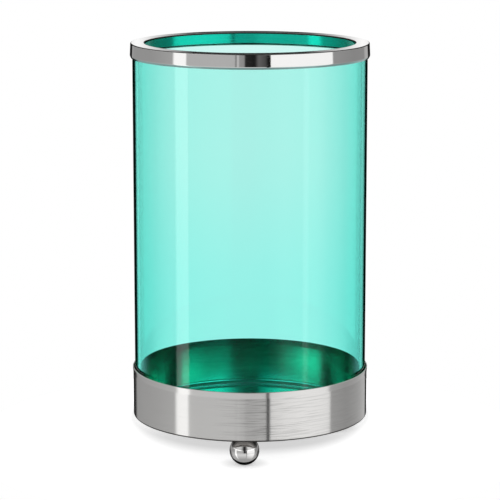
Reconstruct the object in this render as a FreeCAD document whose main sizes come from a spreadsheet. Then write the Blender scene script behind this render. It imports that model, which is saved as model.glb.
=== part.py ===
"""Hurricane candle lantern: a tinted glass tube in a steel base on ball feet, capped by a steel ring.

Millimetres, +Z up. The origin is on the table, under the centre of the glass, and -Y is the front.
"""

import FreeCAD, Part
import enum
import math
import os

import Sketcher

# Driving dimensions
SIZES = {
    # Glass tube
    "glass_diameter": 115.0,
    "glass_wall": 2.5,
    "glass_height": 183.4,
    "glass_edge_radius": 0.8,
    # Radial room between the glass and each metal collar round it
    "glass_play": 0.3,
    # Base hoop
    "band_sheet": 0.6,
    "band_height": 24.4,
    "band_flare": 0.25,
    "band_flare_height": 3.0,
    "band_edge_radius": 0.28,
    "band_foot_radius": 0.5,
    # Pressed floor: a low round seat inside a raised ledge, with a rim turned down beside the hoop
    "floor_sheet": 0.7,
    "ledge_width": 4.4,
    "ledge_step": 1.2,
    "floor_bend_radius": 0.2,
    # Top ring
    "ring_sheet": 0.6,
    "ring_height": 7.3,
    "ring_flange_width": 6.9,
    # From the underside of the flange down
    "ring_lip_height": 0.25,
    "ring_bend_radius": 0.15,
    "ring_corner_radius": 0.5,
    "ring_flare": 0.3,
    "ring_curl_radius": 1.3,
    # Ball feet and their studs
    "foot_diameter": 14.4,
    "foot_seat_diameter": 4.6,
    # From the outside of the hoop in to the middle of each foot
    "foot_inset": 10.4,
    "stud_diameter": 3.0,
    "stud_length": 7.0,
    "stud_chamfer": 0.4,
    "stud_play": 0.05,
    "bore_end_room": 0.5,
    "bore_tip_angle": 118.0,
}
FOOT_COUNT = 3
FRONT_ANGLE = -90.0
FULL_TURN = 360.0
# The most that one rounding, or each of two side by side, may take of the width it lies on
ONE_ROUND = 0.9
TWO_ROUNDS = 0.48
# Two places closer than this are the same place
TOLERANCE = 1e-4


class Index(enum.IntEnum):
    """How a sketch numbers the points of a curve, and its own axes, which start at its origin."""

    START = 1
    END = 2
    CENTRE = 3
    HORIZONTAL_AXIS = -1
    VERTICAL_AXIS = -2


doc = FreeCAD.newDocument("lantern")
sheet = doc.addObject("Spreadsheet::Sheet", "Sizes")
for row, (alias, size) in enumerate(SIZES.items(), start=1):
    sheet.set(f"A{row}", alias)
    sheet.set(f"B{row}", str(size))
    sheet.setAlias(f"B{row}", alias)
doc.recompute()

# Radii and levels that several pieces share, as formulas of the sheet
GLASS_RADIUS = "Sizes.glass_diameter / 2"
BORE_RADIUS = "(Sizes.glass_diameter / 2 - Sizes.glass_wall)"
COLLAR_RADIUS = "(Sizes.glass_diameter / 2 + Sizes.glass_play)"
BAND_RADIUS = f"({COLLAR_RADIUS} + Sizes.band_sheet)"
FOOT_CIRCLE_RADIUS = f"({BAND_RADIUS} - Sizes.foot_inset)"
# The feet are cut flat on top, so the floor lies a little below the top of a full ball
FLOOR_LEVEL = "(Sizes.foot_diameter + sqrt(Sizes.foot_diameter ^ 2 - Sizes.foot_seat_diameter ^ 2)) / 2"
SEAT_LEVEL = f"({FLOOR_LEVEL} + Sizes.floor_sheet)"
LEDGE_LEVEL = f"({SEAT_LEVEL} + Sizes.ledge_step)"
RIM_LEVEL = f"({LEDGE_LEVEL} + Sizes.glass_height)"
TOP_LEVEL = f"({RIM_LEVEL} + Sizes.ring_sheet)"


def number(formula):
    """The value that a formula of the sheet has now."""
    return float(sheet.evalExpression(formula))


def new_body(label):
    body = doc.addObject("PartDesign::Body", label)
    body.Label = label
    return body


def new_sketch(body, plane_role, name):
    """An empty sketch on one of the body's own origin planes."""
    plane = next(item for item in body.Origin.OriginFeatures if item.Role == plane_role)
    sketch = body.newObject("Sketcher::SketchObject", name)
    sketch.AttachmentSupport = [(plane, "")]
    sketch.MapMode = "FlatFace"
    return sketch


def bind_radius(sketch, geometry, formula):
    """Hold the radius of a sketch curve at a formula of the sheet."""
    index = sketch.addConstraint(Sketcher.Constraint("Radius", geometry, number(formula)))
    sketch.setExpression(f"Constraints[{index}]", formula)


def place_point(sketch, geometry, point, across, up):
    """Hold a sketch point at two formulas of the sheet, or on an axis where one of them is nought."""
    sides = (("DistanceX", Index.VERTICAL_AXIS, across), ("DistanceY", Index.HORIZONTAL_AXIS, up))
    for kind, axis, formula in sides:
        distance = number(formula)
        if abs(distance) < TOLERANCE:
            sketch.addConstraint(Sketcher.Constraint("PointOnObject", geometry, point, axis))
            continue
        origin = (Index.HORIZONTAL_AXIS, Index.START)
        index = sketch.addConstraint(Sketcher.Constraint(kind, *origin, geometry, point, distance))
        sketch.setExpression(f"Constraints[{index}]", formula)


def arc_between(first, last, radius):
    """An anticlockwise arc, the short way round from one point to the other."""
    chord = last - first
    middle = (first + last) / 2
    left = FreeCAD.Vector(-chord.y, chord.x, 0).normalize()
    centre = middle + left * math.sqrt(radius**2 - (chord.Length / 2) ** 2)
    circle = Part.Circle(centre, FreeCAD.Vector(0, 0, 1), radius)
    return Part.ArcOfCircle(circle, circle.parameter(first), circle.parameter(last))


def draw_profile(sketch, corners, arcs):
    """Draw a closed outline through corners given as (radius, level) formulas.

    arcs maps the number of a corner to the arc that leaves it, as its radius formula and whether it turns
    anticlockwise. All other sides are straight.
    """
    points = [FreeCAD.Vector(number(across), number(up), 0) for across, up in corners]
    following = points[1:] + points[:1]
    # Which end of each side lies at its own corner, and which at the next one
    near_ends = []
    far_ends = []
    for side, (here, there) in enumerate(zip(points, following)):
        formula, anticlockwise = arcs.get(side, (None, True))
        if formula is None:
            sketch.addGeometry(Part.LineSegment(here, there))
        elif anticlockwise:
            sketch.addGeometry(arc_between(here, there, number(formula)))
        else:
            sketch.addGeometry(arc_between(there, here, number(formula)))
        near_ends.append(Index.START if anticlockwise else Index.END)
        far_ends.append(Index.END if anticlockwise else Index.START)
    for side, (across, up) in enumerate(corners):
        before = (side - 1) % len(corners)
        here = near_ends[side]
        sketch.addConstraint(Sketcher.Constraint("Coincident", before, far_ends[before], side, here))
        place_point(sketch, side, here, across, up)
    for side, (formula, _) in arcs.items():
        bind_radius(sketch, side, formula)


def revolve(label, corners, arcs=None):
    """A body turned from an outline of (radius, level) formulas round the Z axis."""
    body = new_body(label)
    sketch = new_sketch(body, "XZ_Plane", f"{label}_profile")
    draw_profile(sketch, corners, arcs or {})
    turn = body.newObject("PartDesign::Revolution", f"{label}_turn")
    turn.Profile = sketch
    turn.ReferenceAxis = (sketch, ["V_Axis"])
    turn.Angle = FULL_TURN
    doc.recompute()
    return body


def within(radius, share, width):
    """The formula of a rounding that takes no more than a share of the width it lies on."""
    return f"min({radius}; {share} * {width})"


def circles_at(body, places):
    """Names of the body's round edges at (radius, level) formulas."""
    wanted = [(number(across), number(up)) for across, up in places]
    names = []
    for index, edge in enumerate(body.Tip.Shape.Edges, start=1):
        if not isinstance(edge.Curve, Part.Circle):
            continue
        found = (edge.Curve.Radius, edge.Curve.Center.z)
        if any(math.dist(found, place) < TOLERANCE for place in wanted):
            names.append(f"Edge{index}")
    return names


def round_edges(body, radius_formula, places):
    """Round the body's round edges at (radius, level) formulas."""
    base = body.Tip
    names = circles_at(body, places)
    fillet = body.newObject("PartDesign::Fillet", f"{body.Label}_round")
    fillet.Base = (base, names)
    fillet.setExpression("Radius", radius_formula)
    doc.recompute()


def glass_chimney():
    """Plain tube with all four end edges fire-polished round."""
    corners = [
        (BORE_RADIUS, LEDGE_LEVEL),
        (GLASS_RADIUS, LEDGE_LEVEL),
        (GLASS_RADIUS, RIM_LEVEL),
        (BORE_RADIUS, RIM_LEVEL),
    ]
    body = revolve("glass_chimney", corners)
    round_edges(body, "Sizes.glass_edge_radius", corners)
    return body


def base_band():
    """Hoop of sheet, its mouth opened slightly so that the glass drops in and its lower edge rounded."""
    mouth_level = f"({FLOOR_LEVEL} + Sizes.band_height)"
    flare_level = f"({mouth_level} - Sizes.band_flare_height)"
    mouth = [
        (f"{BAND_RADIUS} + Sizes.band_flare", mouth_level),
        (f"{COLLAR_RADIUS} + Sizes.band_flare", mouth_level),
    ]
    lower_edge = (BAND_RADIUS, FLOOR_LEVEL)
    corners = [
        (COLLAR_RADIUS, FLOOR_LEVEL),
        lower_edge,
        (BAND_RADIUS, flare_level),
        *mouth,
        (COLLAR_RADIUS, flare_level),
    ]
    body = revolve("base_band", corners)
    round_edges(body, within("Sizes.band_edge_radius", TWO_ROUNDS, "Sizes.band_sheet"), mouth)
    round_edges(body, within("Sizes.band_foot_radius", ONE_ROUND, "Sizes.band_sheet"), [lower_edge])
    return body


def base_plate():
    """Pressed floor: the round seat, the step up to the ledge and the rim turned down beside the hoop."""
    seat_radius = f"({COLLAR_RADIUS} - Sizes.ledge_width)"
    step_outside = f"({seat_radius} + Sizes.floor_sheet)"
    rim_inside = f"({COLLAR_RADIUS} - Sizes.floor_sheet)"
    ledge_underside = f"({LEDGE_LEVEL} - Sizes.floor_sheet)"
    seat_corner = (seat_radius, SEAT_LEVEL)
    step_top = (seat_radius, LEDGE_LEVEL)
    rim_top = (COLLAR_RADIUS, LEDGE_LEVEL)
    rim_corner = (rim_inside, ledge_underside)
    step_corner = (step_outside, ledge_underside)
    seat_edge = (step_outside, FLOOR_LEVEL)
    corners = [
        ("0", FLOOR_LEVEL),
        seat_edge,
        step_corner,
        rim_corner,
        (rim_inside, FLOOR_LEVEL),
        (COLLAR_RADIUS, FLOOR_LEVEL),
        rim_top,
        step_top,
        seat_corner,
        ("0", SEAT_LEVEL),
    ]
    body = revolve("base_plate", corners)
    # The step takes an inner and an outer bend, one above the other
    bend = "Sizes.floor_bend_radius"
    outer_bend = within(f"{bend} + Sizes.floor_sheet", ONE_ROUND, f"(Sizes.ledge_step - {bend})")
    round_edges(body, bend, [seat_corner, rim_corner, step_corner])
    round_edges(body, outer_bend, [step_top, rim_top, seat_edge])
    return body


def top_ring():
    """Folded ring: lip, flange on the glass rim, skirt that spreads downwards and an edge rolled back in."""
    skirt_outside = f"({COLLAR_RADIUS} + Sizes.ring_sheet)"
    opening = f"({skirt_outside} - Sizes.ring_flange_width)"
    lip_level = f"({RIM_LEVEL} - Sizes.ring_lip_height)"
    # The roll brings the skirt's inner face back in by as much as the skirt spreads
    inner_curl = "(Sizes.ring_curl_radius - Sizes.ring_sheet)"
    curl_across = f"(1 - Sizes.ring_flare / {inner_curl})"
    curl_down = f"sqrt(1 - {curl_across} ^ 2)"
    curl_centre = f"({skirt_outside} + Sizes.ring_flare - Sizes.ring_curl_radius)"
    knee_level = f"({TOP_LEVEL} - Sizes.ring_height + Sizes.ring_curl_radius * {curl_down})"
    lip_top = (opening, TOP_LEVEL)
    shoulder = (skirt_outside, TOP_LEVEL)
    inner_shoulder = (COLLAR_RADIUS, RIM_LEVEL)
    lip_corner = (f"{opening} + Sizes.ring_sheet", RIM_LEVEL)
    corners = [
        (opening, lip_level),
        (f"{opening} + Sizes.ring_sheet", lip_level),
        lip_corner,
        inner_shoulder,
        (f"{COLLAR_RADIUS} + Sizes.ring_flare", knee_level),
        (f"{curl_centre} + {inner_curl} * {curl_across}", f"{knee_level} - {inner_curl} * {curl_down}"),
        (
            f"{curl_centre} + Sizes.ring_curl_radius * {curl_across}",
            f"{knee_level} - Sizes.ring_curl_radius * {curl_down}",
        ),
        (f"{skirt_outside} + Sizes.ring_flare", knee_level),
        shoulder,
        lip_top,
    ]
    arcs = {4: (inner_curl, False), 6: ("Sizes.ring_curl_radius", True)}
    body = revolve("top_ring", corners, arcs)
    round_edges(body, within("Sizes.ring_bend_radius", ONE_ROUND, "Sizes.ring_lip_height"), [lip_corner])
    round_edges(body, "Sizes.ring_corner_radius", [lip_top, shoulder])
    return body


def foot_place(index):
    """Formulas for where a foot stands on the foot circle. The first foot is at the front."""
    angle = FRONT_ANGLE + index * FULL_TURN / FOOT_COUNT
    return f"{FOOT_CIRCLE_RADIUS} * cos({angle}deg)", f"{FOOT_CIRCLE_RADIUS} * sin({angle}deg)"


def ball_foot(index):
    """Ball with a flat ground on top and a blind hole for its stud."""
    hole_radius = "(Sizes.stud_diameter / 2 + Sizes.stud_play)"
    hole_end = f"({FLOOR_LEVEL} - Sizes.stud_length - Sizes.bore_end_room)"
    tip_depth = f"({hole_radius} / tan(Sizes.bore_tip_angle / 2 * 1deg))"
    corners = [
        ("0", "0"),
        ("Sizes.foot_seat_diameter / 2", FLOOR_LEVEL),
        (hole_radius, FLOOR_LEVEL),
        (hole_radius, hole_end),
        ("0", f"{hole_end} - {tip_depth}"),
    ]
    body = revolve(f"ball_foot_{index + 1}", corners, {0: ("Sizes.foot_diameter / 2", True)})
    across, along = foot_place(index)
    body.setExpression("Placement.Base.x", across)
    body.setExpression("Placement.Base.y", along)
    return body


def foot_studs():
    """The studs that stand under the floor, one in each foot, with a chamfered end."""
    body = new_body("foot_studs")
    body.AllowCompound = True
    sketch = new_sketch(body, "XY_Plane", "foot_studs_profile")
    sketch.setExpression("AttachmentOffset.Base.z", FLOOR_LEVEL)
    for index in range(FOOT_COUNT):
        across, along = foot_place(index)
        centre = FreeCAD.Vector(number(across), number(along), 0)
        radius = number("Sizes.stud_diameter / 2")
        circle = sketch.addGeometry(Part.Circle(centre, FreeCAD.Vector(0, 0, 1), radius))
        place_point(sketch, circle, Index.CENTRE, across, along)
        bind_radius(sketch, circle, "Sizes.stud_diameter / 2")
    pad = body.newObject("PartDesign::Pad", "foot_studs_pad")
    pad.Profile = sketch
    pad.Reversed = True
    pad.setExpression("Length", "Sizes.stud_length")
    doc.recompute()
    end_level = number(f"{FLOOR_LEVEL} - Sizes.stud_length")
    lower_ends = [
        f"Edge{index}"
        for index, edge in enumerate(pad.Shape.Edges, start=1)
        if isinstance(edge.Curve, Part.Circle) and abs(edge.Curve.Center.z - end_level) < TOLERANCE
    ]
    chamfer = body.newObject("PartDesign::Chamfer", "foot_studs_chamfer")
    chamfer.Base = (pad, lower_ends)
    chamfer.setExpression("Size", "Sizes.stud_chamfer")
    doc.recompute()
    return body


pieces = {
    glass_chimney(): 1,
    base_band(): 1,
    base_plate(): 1,
    top_ring(): 1,
    foot_studs(): FOOT_COUNT,
}
for foot in range(FOOT_COUNT):
    pieces[ball_foot(foot)] = 1
doc.recompute()

# Nothing is written unless every feature and every piece is sound
for item in doc.Objects:
    if "Invalid" in item.State or "Error" in item.State:
        raise RuntimeError(f"{item.Label} failed: {item.State}")
for piece, solids in pieces.items():
    if piece.Shape.isNull() or not piece.Shape.isValid():
        raise RuntimeError(f"{piece.Label} has no sound shape")
    if len(piece.Shape.Solids) != solids:
        raise RuntimeError(f"{piece.Label} has {len(piece.Shape.Solids)} solids, not {solids}")

os.makedirs("parts", exist_ok=True)
for piece in pieces:
    piece.Shape.exportStep(os.path.join("parts", f"{piece.Label}.step"))
    box = piece.Shape.BoundBox
    print(f"{piece.Label}: {piece.Shape.Volume:.1f} mm3, from z {box.ZMin:.2f} to {box.ZMax:.2f}")
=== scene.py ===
"""Looks of the hurricane candle lantern: tinted glass chimney, polished rim, brushed base and ball feet."""

import math

import bpy
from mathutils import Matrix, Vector


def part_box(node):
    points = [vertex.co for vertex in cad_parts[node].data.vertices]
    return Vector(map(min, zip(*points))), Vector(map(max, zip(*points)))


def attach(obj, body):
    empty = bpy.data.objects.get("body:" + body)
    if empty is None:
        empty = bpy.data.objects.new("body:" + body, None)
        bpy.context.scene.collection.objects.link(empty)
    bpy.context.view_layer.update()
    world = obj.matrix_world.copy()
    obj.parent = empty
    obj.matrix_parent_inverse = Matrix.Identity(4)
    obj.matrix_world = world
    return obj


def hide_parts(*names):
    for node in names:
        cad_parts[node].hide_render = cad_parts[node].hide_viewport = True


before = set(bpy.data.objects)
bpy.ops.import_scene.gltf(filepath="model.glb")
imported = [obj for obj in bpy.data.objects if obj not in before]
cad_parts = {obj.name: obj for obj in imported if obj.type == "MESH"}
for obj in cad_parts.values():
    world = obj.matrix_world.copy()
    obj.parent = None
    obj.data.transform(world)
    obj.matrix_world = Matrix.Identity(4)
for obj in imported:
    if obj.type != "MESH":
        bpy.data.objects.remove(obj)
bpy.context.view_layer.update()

MM = 0.001
TURN = 2 * math.pi
TURN_DEGREES = 360.0
SEGMENTS = 360
BALL_SEGMENTS = 96
CORNER_STEPS = 6
BALL_STEPS = 40
FEET = (1, 2, 3)
# A point nearer than this to the axis lies on it
ON_AXIS = 1e-9

# Sheet, glass and bend sizes, as on the solids
GLASS_WALL = 2.5 * MM
GLASS_EDGE = 0.8 * MM
GLASS_AIR = 0.04 * MM
GLASS_PLAY = 0.3 * MM
BAND_SHEET = 0.6 * MM
BAND_FLARE = 0.25 * MM
BAND_FLARE_HEIGHT = 3.0 * MM
BAND_EDGE = 0.28 * MM
BAND_FOOT_EDGE = 0.5 * MM
BAND_INNER_EDGE = 0.08 * MM
FLOOR_SHEET = 0.7 * MM
FLOOR_BEND = 0.2 * MM
FLOOR_EDGE = 0.1 * MM
LEDGE_WIDTH = 4.4 * MM
RING_SHEET = 0.6 * MM
RING_BEND = 0.15 * MM
RING_EDGE = 0.1 * MM
RING_FLARE = 0.3 * MM
RING_CURL = 1.3 * MM
RING_KNEE_DROP = 0.2 * MM
RING_HEM_RISE = 0.5 * MM
RING_HEM_INSET = 0.34 * MM
RING_FLANGE = 6.9 * MM
RING_LIP = 0.25 * MM
RING_CORNER = 0.5 * MM
FOOT_SEAT_RADIUS = 2.3 * MM
FOOT_BORE_RADIUS = 1.55 * MM
FOOT_BORE_DEPTH = 7.5 * MM
FOOT_BORE_TIP = 0.93 * MM

# How far a face leans outwards or upwards, as a part of its normal, to take a finish or painted shade of its
# own
INWARD_LEAN = -0.5
FOOT_EDGE_LEAN = -0.02
FLOOR_TOP_LEAN = 0.3
HEM_LEAN = -0.15
BEND_LEANS = (0.3, 0.95)

# Glass: slow waves, a tint in its volume, and a deeper one where it turns away and towards its foot
GLASS_WAVES = (40.0, 40.0, 2.0)
GLASS_WAVE_DETAIL = 1.0
GLASS_WAVE_STRENGTH = 0.004
GLASS_WAVE_HEIGHT = 1.0 * MM
GLASS_IOR = 1.4
GLASS_COLOUR = (0.46, 0.98, 0.918, 1.0)
GLASS_DENSITY = 300.0
GLASS_FACING_BLEND = 0.5
GLASS_TURNED = (0.2, 1.0)
GLASS_TURNED_COLOUR = (0.44, 1.0, 0.97, 1.0)
GLASS_TINT_HEIGHTS = (75.0 * MM, 140.0 * MM)
GLASS_TINT_REDS = (0.87, 1.0)

# How the grain of the metal runs: marks per metre along X, Y and Z
LINING_GRAIN = (20.0, 20.0, 900.0)
HAZE_GRAIN = (90.0, 90.0, 90.0)
GRAIN_DETAIL = 4.0
GRAIN_SPAN = (0.3, 0.7)
# A quarter turn lays the grain round the axis
GRAIN_TURN = 0.25

# The brushed band: rows of scratches, a plain strip under the mouth and a painted shade line over the foot
BRUSH_COLOUR = (0.815, 0.806, 0.792)
BRUSH_ROWS = 2400.0
BRUSH_ALONG = 55.0
BRUSH_ROW_SHIFT = 1.37
BRUSH_DETAIL = 2.0
BRUSH_SPAN = (0.48, 0.72)
BRUSH_SIDES = (-14.0 * MM, 9.0 * MM)
BRUSH_DEPTHS = (0.03, 0.30)
BRUSH_FAR_SIDES = (20.0 * MM, 42.0 * MM)
BRUSH_FAR_DEPTHS = (1.0, 0.25)
BRUSH_ROUGHNESS = 0.15
BRUSH_MARK_ROUGHNESS = 0.2
PLAIN_STRIP_EDGE = 0.4 * MM
PLAIN_STRIP_MARKS = (1.0, 0.1)
FOOT_LINE = (0.10 * MM, 0.35 * MM)
FOOT_LINE_TONES = (0.15, 1.0)

# Mill steel under the floor, with painted shade away from its rim and painted light over each foot
DULL_COLOUR = (0.60, 0.58, 0.56)
DULL_TONES = (0.85, 1.0)
DULL_ROUGHNESS = (0.30, 0.45)
SHADE_RADII = (50.0 * MM, 56.0 * MM)
SHADE_TONES = (0.06, 1.0)
FOOT_GLOW_RADII = (4.0 * MM, 9.0 * MM)
FOOT_GLOW_TONES = (0.8, 0.0)

# Where painted shade darkens the linings
LINING_SHADE_SLOPE = (-0.15, 0.2, 1.0)
LINING_SHADE_HEIGHTS = (35.5 * MM, 49.5 * MM)
LINING_SHADE_TONES = (1.0, 0.28)
RIM_SIDES = (38.0 * MM, 56.0 * MM)
LINING_SIDES = (38.5 * MM, 43.0 * MM)
LINING_DEPTHS = (24.0 * MM, 30.0 * MM)
SIDE_SHADE_TONES = (1.0, 0.4)

# Where the camera stands, in the photograph's view
CAMERA_DISTANCE = 1.120
CAMERA_HEIGHT = 0.3102
CAMERA_SIDE = math.radians(3.2)
CAMERA_PITCH = math.radians(10.8)
CAMERA_LENS = 165.3
CAMERA_SENSOR = 36.0
LIGHT_BOUNCES = {"max_bounces": 20, "glossy_bounces": 10, "transmission_bounces": 16}

# The studio round the object: bearing in degrees from the camera's side, and brightness
# What upright metal shows near eye level
STUDIO_LEVEL = [
    (-180.0, 0.02), (-177.75, 0.02), (-177.5, 1.00), (-176.5, 1.00), (-175.5, 0.01), (-155.5, 0.01),
    (-153.0, 0.42), (-149.0, 0.30), (-108.0, 0.295), (-77.8, 0.36), (-77.0, 1.00), (-63.3, 1.00),
    (-62.5, 0.44), (18.0, 0.44), (19.8, 0.97), (85.0, 0.95), (85.8, 0.29), (118.0, 0.25), (140.0, 0.26),
    (143.0, 0.40), (153.0, 0.44), (155.0, 0.01), (175.5, 0.01), (176.5, 1.00), (177.5, 1.00),
    (177.75, 0.02), (180.0, 0.02),
]
# The dark gap between the panels, straight ahead at eye level
STUDIO_GAP = [
    (-13.5, 0.24), (-12.4, 0.24), (-12.0, 0.62), (-10.8, 0.58), (-10.0, 0.30), (-5.5, 0.27), (-4.2, 0.02),
    (5.0, 0.01), (8.0, 0.12), (15.0, 0.06), (16.5, 0.01), (19.0, 0.01),
]
GAP_SIDES = (-14.0, 19.4)
# What lies lower
STUDIO_LOW = [
    (-180.0, 0.01), (-154.0, 0.01), (-149.0, 0.34), (-105.0, 0.40), (-77.8, 0.46), (-77.0, 1.10),
    (-63.3, 1.10), (-62.5, 0.56), (-22.0, 0.58), (-14.0, 0.58), (16.0, 0.58), (16.8, 0.02), (19.2, 0.02),
    (19.8, 0.66), (38.0, 0.80), (55.0, 0.86), (85.0, 0.83), (85.8, 0.36), (110.0, 0.30), (130.0, 0.37),
    (150.0, 0.49), (156.0, 0.54), (160.0, 0.01), (180.0, 0.01),
]
LOW_HEIGHTS = (-9.0, -12.0)
# What lies higher, over the backdrop and the panels' lower edges
STUDIO_HIGH = [
    (-180.0, 0.08), (-152.0, 0.06), (-143.0, 0.22), (-134.0, 0.70), (-120.0, 0.82), (-86.0, 0.84),
    (-69.0, 1.25), (-50.0, 1.55), (-40.0, 1.45), (-30.0, 1.35), (-20.0, 0.85), (-10.0, 0.32), (-7.0, 0.05),
    (4.0, 0.05), (11.0, 0.22), (18.0, 0.60), (32.0, 1.75), (45.0, 1.85), (57.0, 1.68), (70.0, 1.50),
    (86.0, 0.92), (103.0, 0.62), (111.0, 0.34), (128.0, 0.14), (144.0, 0.05), (180.0, 0.08),
]
HIGH_HEIGHTS = (6.8, 8.8)
# What metal outside the glass shows over that
STUDIO_UPPER = [
    (-180.0, 0.60), (-110.0, 0.60), (-86.0, 0.34), (-69.0, 0.50), (-50.0, 0.62), (-30.0, 0.54),
    (-20.0, 0.34), (-10.0, 0.13), (-7.0, 0.02), (4.0, 0.02), (11.0, 0.09), (18.0, 0.24), (32.0, 0.70),
    (45.0, 0.74), (57.0, 0.67), (70.0, 0.60), (86.0, 0.37), (110.0, 0.60), (180.0, 0.60),
]
UPPER_HEIGHTS = (10.0, 14.0)
CEILING = 0.30
CEILING_HEIGHTS = (42.0, 52.0)
# What shows inside the glass: dark from few bounces, bright after many
INSIDE = 0.10
INSIDE_HEIGHTS = (24.0, 29.0)
FLOOR_HEIGHTS = (15.0, 18.0)
FLOOR_BEARINGS = (78.0, 98.0)
FLOOR_BOUNCES = 2.5
DEEP = 0.90
DEEP_BOUNCES = 3.5
# Light on the metal inside has come through the glass, once more for each reflection
INSIDE_TINT = (0.26, 1.0, 0.90)
RIM_TINT = (0.035, 1.0, 0.85, 1.0)
# What lies under the table's level, past a brighter border
BORDER = 1.22
BORDER_HEIGHTS = (-17.0, -22.0)
UNDER = 0.34
UNDER_HEIGHTS = (-20.0, -60.0)
# What clear glass shows, as through a polariser
STUDIO_GLASS = [
    (-180.0, 0.01), (-158.5, 0.01), (-155.5, 0.90), (-145.0, 1.25), (-138.0, 1.25), (-122.0, 0.20),
    (-100.0, 0.06), (-77.0, 0.06), (-62.5, 0.12), (-14.0, 0.12), (18.0, 0.03), (19.8, 0.14), (85.0, 0.14),
    (86.0, 0.06), (100.0, 0.06), (122.0, 0.15), (138.0, 0.95), (157.0, 0.80), (160.0, 0.01), (180.0, 0.01),
]
# What its outer face shows
STUDIO_SHEEN = [
    (-180.0, 0.00), (-110.0, 0.00), (-95.0, 0.06), (-77.8, 0.06), (-77.0, 2.60), (-63.3, 2.60),
    (-62.5, 0.12), (-14.0, 0.12), (18.0, 0.03), (19.8, 0.12), (27.0, 0.20), (31.0, 0.50), (52.5, 0.50),
    (54.0, 1.70), (58.0, 1.70), (60.0, 0.55), (77.0, 0.40), (80.0, 0.10), (95.0, 0.06), (110.0, 0.00),
    (180.0, 0.00),
]
# A ray that crossed more glass than this comes from metal behind it
GLASS_CROSSINGS = 5.5
# A ray with fewer crossings or bounces than this has had none
NONE_YET = 0.5

# The table, white with a painted soft shadow that falls away from the camera
TABLE_RADIUS = 0.140
TABLE_WHITE = 0.8
SHADOW_BACK = 0.048
SHADOW_EDGE = 0.060
SHADOW_SIDE_REACH = 0.005
SHADOW_FRONT_REACH = 0.022
SHADOW_HELD = (0.32, 1.0)
SHADOW_SHOWN = (0.60, 0.90)
CONTACT_REACH = (0.003, 0.0135)
CONTACT_SHADE = 0.40
CONTACT_BACK = 0.0056
CONTACT_MIRRORED = (0.0108, 0.0114)
CONTACT_DARK = 0.01
MIRROR_REACH = (0.046, 0.052)


def lathe_profile(corners, closed):
    """Points and outward normals of a profile whose corners (radius, height, bend) run anticlockwise."""
    count = len(corners)
    points = []
    for index, (radius, height, bend) in enumerate(corners):
        here = Vector((radius, height))
        if not closed and index in (0, count - 1):
            points.append((here, None))
            continue
        before = Vector(corners[index - 1][:2])
        after = Vector(corners[(index + 1) % count][:2])
        arriving = (here - before).normalized()
        leaving = (after - here).normalized()
        start = math.atan2(arriving.y, arriving.x)
        turn = math.atan2(arriving.x * leaving.y - arriving.y * leaving.x, arriving.dot(leaving))
        side = math.copysign(1.0, turn)
        inward = Vector((-arriving.y, arriving.x)) * side
        centre = here - arriving * bend * math.tan(abs(turn) / 2) + inward * bend
        for step in range(CORNER_STEPS + 1):
            heading = start + turn * step / CORNER_STEPS
            normal = Vector((math.sin(heading), -math.cos(heading)))
            points.append((centre + normal * bend * side, normal))
    if not closed:
        points[0] = (points[0][0], Vector((0.0, points[1][1].y)))
        points[-1] = (points[-1][0], Vector((0.0, points[-2][1].y)))
    return points


def lathe(name, profile, closed, segments=SEGMENTS, centre=(0.0, 0.0)):
    """A smooth mesh turned about an upright axis from a profile of (point, normal)."""
    vertices = []
    normals = []
    rings = []
    for point, normal in profile:
        copies = 1 if point.x < ON_AXIS else segments
        rings.append((len(vertices), copies))
        for step in range(copies):
            angle = TURN * step / segments
            turn = Vector((math.cos(angle), math.sin(angle)))
            vertices.append((centre[0] + point.x * turn.x, centre[1] + point.x * turn.y, point.y))
            normals.append((normal.x * turn.x, normal.x * turn.y, normal.y))
    faces = []
    pairs = list(zip(rings, rings[1:]))
    if closed:
        pairs.append((rings[-1], rings[0]))
    for (low, low_copies), (high, high_copies) in pairs:
        for step in range(segments):
            following = (step + 1) % segments
            if low_copies == 1:
                faces.append((low, high + following, high + step))
            elif high_copies == 1:
                faces.append((low + step, low + following, high))
            else:
                faces.append((low + step, low + following, high + following, high + step))
    mesh = bpy.data.meshes.new(name)
    mesh.from_pydata(vertices, [], faces)
    mesh.shade_smooth()
    mesh.normals_split_custom_set_from_vertices(normals)
    mesh.validate()
    piece = bpy.data.objects.new(name, mesh)
    bpy.context.scene.collection.objects.link(piece)
    return piece


def looks_inward(face):
    return face.normal.xy.dot(face.center.xy.normalized()) < INWARD_LEAN


def refinish(piece, material, chosen):
    """Gives the faces that a test picks a finish of their own."""
    piece.data.materials.append(material)
    for face in piece.data.polygons:
        if chosen(face):
            face.material_index = len(piece.data.materials) - 1


def dress(piece, body, node, material):
    """Hangs a piece on its body in place of its solid, with its finish."""
    piece.data.materials.append(material)
    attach(piece, body)
    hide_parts(node)


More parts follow.
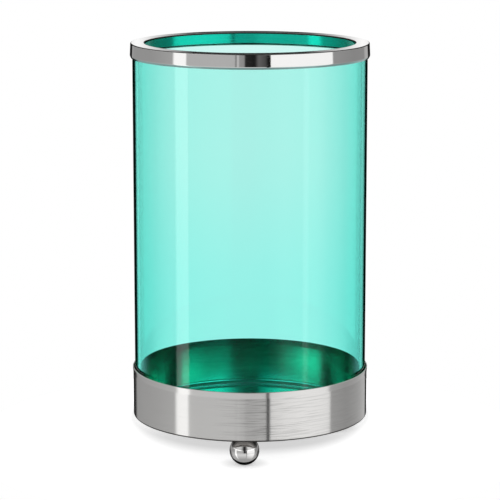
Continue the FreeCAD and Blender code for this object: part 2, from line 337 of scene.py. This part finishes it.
class Shader:
    """A material's or the world's node tree, with short calls to add and join nodes."""

    def __init__(self, owner):
        owner.use_nodes = True
        self.tree = owner.node_tree
        self.tree.nodes.clear()

    def add(self, kind, inputs=None, **settings):
        made = self.tree.nodes.new(kind)
        for key, value in settings.items():
            setattr(made, key, value)
        for key, value in (inputs or {}).items():
            if isinstance(value, bpy.types.NodeSocket):
                self.tree.links.new(value, made.inputs[key])
            else:
                made.inputs[key].default_value = value
        return made

    def place(self):
        """Where the surface lies, in metres from its object's origin."""
        return self.add("ShaderNodeTexCoord").outputs["Object"]

    def math(self, operation, *values):
        return self.add("ShaderNodeMath", dict(enumerate(values)), operation=operation).outputs[0]

    def span(self, value, before, after):
        """A value carried from one span to another, held at the ends."""
        return self.add("ShaderNodeMapRange", {
            "Value": value, "From Min": before[0], "From Max": before[1],
            "To Min": after[0], "To Max": after[1]}).outputs[0]

    def fade(self, value, start, end):
        """0 to 1 as an angle in radians goes from start to end, both in degrees."""
        return self.span(value, (math.radians(start), math.radians(end)), (0.0, 1.0))

    def axes(self, vector):
        return self.add("ShaderNodeSeparateXYZ", {0: vector}).outputs

    def join(self, *axes):
        return self.add("ShaderNodeCombineXYZ", dict(enumerate(axes))).outputs[0]

    def across(self, place):
        """How far to either side a place lies."""
        return self.math("ABSOLUTE", self.axes(place)["X"])

    def vectors(self, operation, *vectors, result="Vector"):
        return self.add("ShaderNodeVectorMath", dict(enumerate(vectors)), operation=operation).outputs[result]

    def length(self, vector):
        return self.vectors("LENGTH", vector, result="Value")

    def distance(self, place, point):
        return self.vectors("DISTANCE", place, point, result="Value")

    def times(self, first, second):
        return self.vectors("MULTIPLY", first, second)

    def scale(self, vector, factor):
        return self.add("ShaderNodeVectorMath", {0: vector, "Scale": factor}, operation="SCALE").outputs[0]

    def noise(self, place, scale, detail):
        """Noise over a place in metres, with a scale for each axis."""
        stretched = self.add("ShaderNodeMapping", {"Vector": place, "Scale": scale}).outputs[0]
        inputs = {"Vector": stretched, "Scale": 1.0, "Detail": detail}
        return self.add("ShaderNodeTexNoise", inputs).outputs["Fac"]

    def mix(self, share, first, second):
        """One colour faded to another. The node's sockets for colours are those numbered here."""
        return self.add("ShaderNodeMix", {0: share, 6: first, 7: second}, data_type="RGBA").outputs[2]

    def bearings(self, bearing, stops):
        """Brightness by bearing, from stops in degrees."""
        return self.ramp(self.math("MULTIPLY_ADD", bearing, 1 / TURN, 0.5),
                         [(angle / TURN_DEGREES + 0.5, value) for angle, value in stops])

    def ramp(self, factor, stops):
        """Brightness by a factor. All places come before the colours, as the stops stay in order of place."""
        made = self.add("ShaderNodeValToRGB", {"Fac": factor})
        elements = made.color_ramp.elements
        while len(elements) < len(stops):
            elements.new(0.5)
        for element, (place, _) in zip(elements, stops):
            element.position = place
        for element, (_, value) in zip(elements, stops):
            element.color = grey(value)
        return made.outputs["Color"]

    def metal(self, colour, roughness, more=None):
        """Ends a material as bare metal."""
        body = self.add("ShaderNodeBsdfPrincipled", {
            "Base Color": colour, "Metallic": 1.0, "Roughness": roughness, **(more or {})})
        self.add("ShaderNodeOutputMaterial", {"Surface": body.outputs[0]})


def grey(value):
    return (value, value, value, 1.0)


def new_material(name):
    material = bpy.data.materials.new(name)
    return material, Shader(material)


def tinted_glass():
    material, shader = new_material("tinted_glass")
    place = shader.place()
    waves = shader.noise(place, GLASS_WAVES, GLASS_WAVE_DETAIL)
    bump = shader.add("ShaderNodeBump", {
        "Height": waves, "Strength": GLASS_WAVE_STRENGTH, "Distance": GLASS_WAVE_HEIGHT})
    turned = shader.add("ShaderNodeLayerWeight", {"Blend": GLASS_FACING_BLEND}).outputs["Facing"]
    deeper = shader.mix(shader.span(turned, GLASS_TURNED, (0.0, 1.0)), grey(1.0), GLASS_TURNED_COLOUR)
    red = shader.span(shader.axes(place)["Z"], GLASS_TINT_HEIGHTS, GLASS_TINT_REDS)
    lower = shader.join(red, 1.0, 1.0)
    body = shader.add("ShaderNodeBsdfPrincipled", {
        "Base Color": shader.times(deeper, lower), "Roughness": 0.0, "IOR": GLASS_IOR,
        "Transmission Weight": 1.0, "Normal": bump.outputs[0]})
    tint = shader.add("ShaderNodeVolumeAbsorption", {"Color": GLASS_COLOUR, "Density": GLASS_DENSITY})
    shader.add("ShaderNodeOutputMaterial", {"Surface": body.outputs[0], "Volume": tint.outputs[0]})
    return material


def steel(name, colour, tones, roughness, grain=HAZE_GRAIN, painted_shade=None, more=None):
    """Steel whose brightness and roughness vary along a grain, with a rule for its painted shade."""
    material, shader = new_material(name)
    place = shader.place()
    marks = shader.noise(place, grain, GRAIN_DETAIL)
    tone = shader.span(marks, GRAIN_SPAN, tones)
    if painted_shade:
        tone = shader.math("MULTIPLY", tone, painted_shade(shader, place))
    shader.metal(shader.scale(colour, tone), shader.span(marks, GRAIN_SPAN, roughness), more)
    return material


def mouth_painted_shade(shader, place):
    """Painted shade: darker towards the mouth, most at the back and to one side, and at both sides."""
    height = shader.vectors("DOT_PRODUCT", place, LINING_SHADE_SLOPE, result="Value")
    tone = shader.span(height, LINING_SHADE_HEIGHTS, LINING_SHADE_TONES)
    side = shader.span(shader.across(place), LINING_SIDES, SIDE_SHADE_TONES)
    front = shader.span(shader.axes(place)["Y"], LINING_DEPTHS, (1.0, 0.0))
    return shader.math("MULTIPLY", tone, shader.math("MAXIMUM", side, front))


def side_painted_shade(shader, place):
    """Painted shade: darker towards both sides."""
    return shader.span(shader.across(place), RIM_SIDES, SIDE_SHADE_TONES)


def foot_middle(index):
    """Where a foot stands on the table."""
    low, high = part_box(f"ball_foot_{index}")
    return Vector(((low.x + high.x) / 2, (low.y + high.y) / 2, 0.0))


def dull_steel():
    """Mill steel under the floor, with painted shade away from its rim and painted light over each foot."""
    material, shader = new_material("dull_steel")
    place = shader.place()
    marks = shader.noise(place, HAZE_GRAIN, GRAIN_DETAIL)
    level = shader.times(place, (1.0, 1.0, 0.0))
    shade = shader.span(shader.length(level), SHADE_RADII, SHADE_TONES)
    # A painted pool of light round each foot
    for index in FEET:
        beside = shader.distance(level, foot_middle(index))
        shade = shader.math("MAXIMUM", shade, shader.span(beside, FOOT_GLOW_RADII, FOOT_GLOW_TONES))
    tone = shader.math("MULTIPLY", shade, shader.span(marks, GRAIN_SPAN, DULL_TONES))
    shader.metal(shader.scale(DULL_COLOUR, tone), shader.span(marks, GRAIN_SPAN, DULL_ROUGHNESS))
    return material


def brushed_steel():
    """Steel brushed round the band, coarser to one side, with a plain strip under the mouth and a painted
    shade line over its foot.
    """
    material, shader = new_material("brushed_steel")
    axes = shader.axes(shader.place())
    # Each row of scratches has a pattern of its own
    row = shader.math("FLOOR", shader.math("MULTIPLY", axes["Z"], BRUSH_ROWS))
    along = shader.join(axes["X"], axes["Y"], row)
    pattern = shader.noise(along, (BRUSH_ALONG, BRUSH_ALONG, BRUSH_ROW_SHIFT), BRUSH_DETAIL)
    scratches = shader.span(pattern, BRUSH_SPAN, (0.0, 1.0))
    low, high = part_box("base_band")
    mouth = high.z - BAND_FLARE_HEIGHT
    plain = shader.span(axes["Z"], (mouth - PLAIN_STRIP_EDGE, mouth + PLAIN_STRIP_EDGE), PLAIN_STRIP_MARKS)
    depth = shader.math("MULTIPLY", shader.span(axes["X"], BRUSH_SIDES, BRUSH_DEPTHS),
                        shader.span(axes["X"], BRUSH_FAR_SIDES, BRUSH_FAR_DEPTHS))
    marks = shader.math("MULTIPLY", scratches, shader.math("MULTIPLY", plain, depth))
    # A painted shade line just over the foot's round edge
    foot = low.z + BAND_FOOT_EDGE
    foot_shade = shader.span(axes["Z"], (foot + FOOT_LINE[0], foot + FOOT_LINE[1]), FOOT_LINE_TONES)
    tone = shader.math("MULTIPLY", foot_shade, shader.math("SUBTRACT", 1.0, marks))
    roughness = shader.math("MULTIPLY_ADD", marks, BRUSH_MARK_ROUGHNESS, BRUSH_ROUGHNESS)
    shader.metal(shader.scale(BRUSH_COLOUR, tone), roughness,
                 {"Anisotropic": 1.0, "Anisotropic Rotation": GRAIN_TURN})
    return material


def box_radius(node):
    low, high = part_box(node)
    return (high.y - low.y) / 2


def glass_chimney(material):
    low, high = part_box("glass_chimney")
    outer = box_radius("glass_chimney")
    inner = outer - GLASS_WALL
    bottom = low.z + GLASS_AIR
    top = high.z - GLASS_AIR
    corners = [
        (inner, bottom, GLASS_EDGE),
        (outer, bottom, GLASS_EDGE),
        (outer, top, GLASS_EDGE),
        (inner, top, GLASS_EDGE),
    ]
    piece = lathe("glass_tube", lathe_profile(corners, True), True)
    dress(piece, "chimney", "glass_chimney", material)


def base_band(material, lining, shade_edging):
    low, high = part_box("base_band")
    outer = box_radius("base_band") - BAND_FLARE
    inner = outer - BAND_SHEET
    shoulder = high.z - BAND_FLARE_HEIGHT
    corners = [
        (inner, low.z, BAND_INNER_EDGE),
        (outer, low.z, BAND_FOOT_EDGE),
        (outer, shoulder, BAND_FLARE_HEIGHT),
        (outer + BAND_FLARE, high.z, BAND_EDGE),
        (inner + BAND_FLARE, high.z, BAND_EDGE),
        (inner, shoulder, BAND_FLARE_HEIGHT),
    ]
    piece = lathe("band_hoop", lathe_profile(corners, True), True)
    dress(piece, "base", "base_band", material)
    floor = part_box("base_plate")[1].z

    def lined(face):
        return looks_inward(face) and face.center.z > floor

    # The foot's round edge takes painted shade
    def foot_edge(face):
        return face.normal.z < FOOT_EDGE_LEAN and face.center.z < low.z + BAND_FOOT_EDGE

    refinish(piece, lining, lined)
    refinish(piece, shade_edging, foot_edge)


def base_plate(material, underside):
    low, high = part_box("base_plate")
    rim = box_radius("base_plate")
    rim_inside = rim - FLOOR_SHEET
    seat = low.z + FLOOR_SHEET
    step = rim - LEDGE_WIDTH
    step_outside = step + FLOOR_SHEET
    ledge_underside = high.z - FLOOR_SHEET
    outside_bend = FLOOR_BEND + FLOOR_SHEET
    corners = [
        (0.0, low.z, 0.0),
        (step_outside, low.z, outside_bend),
        (step_outside, ledge_underside, FLOOR_BEND),
        (rim_inside, ledge_underside, FLOOR_BEND),
        (rim_inside, low.z, FLOOR_EDGE),
        (rim, low.z, FLOOR_EDGE),
        (rim, high.z, outside_bend),
        (step, high.z, outside_bend),
        (step, seat, FLOOR_BEND),
        (0.0, seat, 0.0),
    ]
    piece = lathe("floor_pan", lathe_profile(corners, False), False)
    dress(piece, "base", "base_plate", material)

    def hidden(face):
        stepped = looks_inward(face) and face.center.xy.length < step_outside
        return face.normal.z < FLOOR_TOP_LEAN and not stepped

    refinish(piece, underside, hidden)


def top_ring(material, lining, shade_edging, hem):
    low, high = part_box("top_ring")
    glass = box_radius("glass_chimney")
    inside = glass + GLASS_PLAY
    outside = inside + RING_SHEET
    opening = outside - RING_FLANGE
    under = high.z - RING_SHEET
    knee = low.z + RING_CURL - RING_KNEE_DROP
    lip = under - RING_LIP
    corners = [
        (opening, lip, RING_EDGE),
        (opening + RING_SHEET, lip, RING_EDGE),
        (opening + RING_SHEET, under, RING_BEND),
        (inside, under, RING_BEND),
        (inside + RING_FLARE, knee, RING_CURL - RING_SHEET),
        (inside, low.z + RING_HEM_RISE, RING_EDGE),
        (inside + RING_HEM_INSET, low.z, RING_EDGE),
        (outside + RING_FLARE, knee, RING_CURL),
        (outside, high.z, RING_CORNER),
        (opening, high.z, RING_CORNER),
    ]
    piece = lathe("rim_ring", lathe_profile(corners, True), True)
    dress(piece, "rim", "top_ring", material)

    def lined(face):
        return looks_inward(face) and face.center.xy.length > glass

    # The rolled hem under the knee takes painted teal shade
    def rolled(face):
        return face.normal.z < HEM_LEAN and face.center.z < knee and not looks_inward(face)

    # The lip's inside and the ring's bends take painted shade
    def dark(face):
        if face.center.xy.length < glass:
            return looks_inward(face)
        return BEND_LEANS[0] < face.normal.z < BEND_LEANS[1]

    refinish(piece, lining, lined)
    refinish(piece, hem, rolled)
    refinish(piece, shade_edging, dark)


def ball_foot(index, material):
    node = f"ball_foot_{index}"
    low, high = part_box(node)
    centre = (low + high) / 2
    radius = (high.x - low.x) / 2
    last = math.asin(FOOT_SEAT_RADIUS / radius)
    profile = []
    for step in range(BALL_STEPS + 1):
        angle = (math.pi - last) * step / BALL_STEPS
        normal = Vector((math.sin(angle), -math.cos(angle)))
        profile.append((Vector((0.0, low.z + radius)) + normal * radius, normal))
    up = Vector((0.0, 1.0))
    inward = Vector((-1.0, 0.0))
    bore = high.z - FOOT_BORE_DEPTH
    profile += [
        (Vector((FOOT_BORE_RADIUS, high.z)), up),
        (Vector((FOOT_BORE_RADIUS, bore)), inward),
        (Vector((0.0, bore - FOOT_BORE_TIP)), up),
    ]
    piece = lathe(f"foot_ball_{index}", profile, False, BALL_SEGMENTS, (centre.x, centre.y))
    dress(piece, "base", node, material)


def camera():
    data = bpy.data.cameras.new("camera")
    data.lens = CAMERA_LENS
    data.sensor_width = CAMERA_SENSOR
    made = bpy.data.objects.new("camera", data)
    across = CAMERA_DISTANCE * math.sin(CAMERA_SIDE)
    away = CAMERA_DISTANCE * math.cos(CAMERA_SIDE)
    made.location = (across, -away, CAMERA_HEIGHT)
    made.rotation_euler = (math.pi / 2 - CAMERA_PITCH, 0.0, CAMERA_SIDE)
    bpy.context.scene.collection.objects.link(made)
    bpy.context.scene.camera = made


def studio():
    """Light by its bearing and height round the object, and by what a ray has met on its way."""
    world = bpy.data.worlds.new("studio")
    bpy.context.scene.world = world
    shader = Shader(world)
    direction = shader.add("ShaderNodeTexCoord").outputs["Generated"]
    turned = shader.add("ShaderNodeVectorRotate", {"Vector": direction, "Angle": -CAMERA_SIDE},
                        rotation_type="Z_AXIS").outputs[0]
    axes = shader.axes(turned)
    bearing = shader.math("ARCTAN2", axes["X"], shader.math("MULTIPLY", axes["Y"], -1.0))
    aside = shader.math("ABSOLUTE", bearing)
    height = shader.math("ARCSINE", axes["Z"])
    path = shader.add("ShaderNodeLightPath").outputs
    crossings = path["Transmission Depth"]
    bounces = path["Glossy Depth"]

    # Metal, near eye level and lower
    ahead = shader.math("MULTIPLY", shader.math("GREATER_THAN", bearing, math.radians(GAP_SIDES[0])),
                        shader.math("LESS_THAN", bearing, math.radians(GAP_SIDES[1])))
    metal = shader.mix(ahead, shader.bearings(bearing, STUDIO_LEVEL), shader.bearings(bearing, STUDIO_GAP))
    metal = shader.mix(shader.fade(height, *LOW_HEIGHTS), metal, shader.bearings(bearing, STUDIO_LOW))
    border = shader.math("MULTIPLY_ADD", shader.fade(height, *BORDER_HEIGHTS), BORDER - 1.0, 1.0)
    metal = shader.scale(metal, border)

    # Clear glass, which alone reflects without any blur
    outside = shader.math("LESS_THAN", crossings, NONE_YET)
    sheen = shader.bearings(bearing, STUDIO_SHEEN)
    glass = shader.mix(outside, shader.bearings(bearing, STUDIO_GLASS), sheen)
    before = shader.math("LESS_THAN", crossings, GLASS_CROSSINGS)
    clear = shader.math("MULTIPLY", path["Is Singular Ray"], before)
    lit = shader.mix(clear, metal, glass)

    # Higher up
    high = shader.fade(height, *HIGH_HEIGHTS)
    upper = shader.math("MULTIPLY", outside, shader.fade(height, *UPPER_HEIGHTS))
    over = shader.mix(upper, shader.bearings(bearing, STUDIO_HIGH), shader.bearings(bearing, STUDIO_UPPER))
    lit = shader.mix(high, lit, over)
    lit = shader.mix(shader.fade(height, *CEILING_HEIGHTS), lit, grey(CEILING))

    # Inside the glass
    inside = shader.math("MULTIPLY", high, shader.math("GREATER_THAN", crossings, NONE_YET))
    few = shader.math("LESS_THAN", bounces, FLOOR_BOUNCES)
    floor = shader.math("MAXIMUM", shader.fade(height, *FLOOR_HEIGHTS), shader.fade(aside, *FLOOR_BEARINGS))
    floor = shader.math("MULTIPLY", few, floor)
    enclosed = shader.math("MAXIMUM", shader.fade(height, *INSIDE_HEIGHTS), floor)
    lit = shader.mix(shader.math("MULTIPLY", inside, enclosed), lit, grey(INSIDE))
    deep = shader.math("MULTIPLY", high, shader.math("GREATER_THAN", bounces, DEEP_BOUNCES))
    lit = shader.mix(deep, lit, grey(DEEP))

    # The tint of light that has come through the glass
    behind = shader.math("GREATER_THAN", crossings, GLASS_CROSSINGS)
    tint = shader.join(*[shader.math("POWER", share, bounces) for share in INSIDE_TINT])
    tint = shader.mix(high, RIM_TINT, tint)
    lit = shader.mix(shader.math("MAXIMUM", inside, behind), lit, shader.times(lit, tint))

    # Under the table's level, and white where nothing has reflected the ray
    lit = shader.mix(shader.fade(height, *UNDER_HEIGHTS), lit, grey(UNDER))
    bounced = shader.math("ADD", bounces, path["Diffuse Depth"])
    straight = shader.math("LESS_THAN", bounced, NONE_YET)
    colour = shader.mix(straight, lit, grey(1.0))
    light = shader.add("ShaderNodeBackground", {"Color": colour, "Strength": 1.0})
    shader.add("ShaderNodeOutputWorld", {"Surface": light.outputs[0]})


def table_top():
    material, shader = new_material("table_white")
    place = shader.place()
    path = shader.add("ShaderNodeLightPath").outputs
    # How far past the edge of the painted shadow, as a share of its reach on that side
    middle = (-SHADOW_BACK * math.sin(CAMERA_SIDE), SHADOW_BACK * math.cos(CAMERA_SIDE), 0.0)
    behind = shader.vectors("SUBTRACT", place, middle)
    away = shader.length(behind)
    ahead = shader.math("DIVIDE", shader.axes(behind)["Y"], away)
    reach = shader.math("MULTIPLY_ADD", shader.math("MULTIPLY", ahead, ahead),
                        SHADOW_FRONT_REACH - SHADOW_SIDE_REACH, SHADOW_SIDE_REACH)
    past_edge = shader.math("DIVIDE", shader.math("SUBTRACT", away, SHADOW_EDGE), reach)
    shown = shader.span(past_edge, SHADOW_HELD, SHADOW_SHOWN)
    touched = 0.0
    for index in FEET:
        foot = foot_middle(index)
        beside = shader.distance(place, foot)
        # A painted contact shadow round each foot
        shown = shader.math("SUBTRACT", shown, shader.span(beside, CONTACT_REACH, (CONTACT_SHADE, 0.0)))
        beneath = shader.distance(place, foot + Vector((0.0, CONTACT_BACK, 0.0)))
        touched = shader.math("MAXIMUM", touched, shader.span(beneath, CONTACT_MIRRORED, (1.0, 0.0)))
    # Painted contact shade, near black for glossy rays alone, which the balls mirror
    contact = shader.math("MULTIPLY", touched, path["Is Glossy Ray"])
    matt = shader.add("ShaderNodeBsdfDiffuse", {
        "Color": shader.mix(contact, grey(TABLE_WHITE), grey(CONTACT_DARK))})
    # Camera rays alone see this white glow, with the painted shadows in it
    glow = shader.add("ShaderNodeEmission", {
        "Color": grey(1.0), "Strength": shader.math("MULTIPLY", shown, path["Is Camera Ray"])})
    both = shader.add("ShaderNodeAddShader", {0: matt.outputs[0], 1: glow.outputs[0]})
    # Metal looks past the table's outer part, to the studio
    mirrored = shader.math("MULTIPLY", shader.span(shader.length(place), MIRROR_REACH, (0.0, 1.0)),
                           shader.math("MAXIMUM", path["Is Glossy Ray"], path["Is Shadow Ray"]))
    mirrored = shader.math("MULTIPLY", mirrored, shader.math("SUBTRACT", 1.0, contact))
    past = shader.add("ShaderNodeBsdfTransparent")
    surface = shader.add("ShaderNodeMixShader", {0: mirrored, 1: both.outputs[0], 2: past.outputs[0]})
    shader.add("ShaderNodeOutputMaterial", {"Surface": surface.outputs[0]})
    up = Vector((0.0, 1.0))
    top = lathe("table_top", [(Vector((TABLE_RADIUS, 0.0)), up), (Vector((0.0, 0.0)), up)], False)
    top.data.materials.append(material)


def build():
    polished = steel("polished_steel", colour=(0.94, 0.93, 0.92), tones=(0.98, 1.0), roughness=(0.03, 0.06))
    floor = steel("floor_steel", colour=(0.80, 0.80, 0.79), tones=(0.92, 1.0), roughness=(0.08, 0.13))
    underside = dull_steel()
    # Painted shade: near-black steel on the band's foot edge and on the ring's lip and bends
    shade_edging = steel("painted_shade_edge", colour=(0.07, 0.065, 0.06), tones=(0.80, 1.0), roughness=(0.30, 0.40),
                   more={"Specular Tint": grey(0.1)})
    lining = steel("band_lining", colour=(0.86, 0.86, 0.85), tones=(0.92, 1.0), roughness=(0.13, 0.18),
                   grain=LINING_GRAIN, painted_shade=mouth_painted_shade,
                   more={"Anisotropic": 0.6, "Anisotropic Rotation": GRAIN_TURN})
    sealed = steel("rim_lining", colour=(0.85, 0.85, 0.84), tones=(0.92, 1.0), roughness=(0.10, 0.16),
                   grain=LINING_GRAIN, painted_shade=side_painted_shade)
    # Painted shade on the ring's rolled hem, tinted teal like the glass
    hem = steel("hem_painted_teal_shade", colour=(0.50, 0.74, 0.72), tones=(0.92, 1.0), roughness=(0.10, 0.16))
    glass_chimney(tinted_glass())
    top_ring(polished, sealed, shade_edging, hem)
    base_band(brushed_steel(), lining, shade_edging)
    base_plate(floor, underside)
    for index in FEET:
        ball_foot(index, polished)
    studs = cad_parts["foot_studs"].data.materials
    studs.clear()
    studs.append(underside)
    table_top()
    studio()
    camera()
    bpy.context.scene.view_settings.view_transform = "Standard"
    for kind, count in LIGHT_BOUNCES.items():
        setattr(bpy.context.scene.cycles, kind, count)


build()
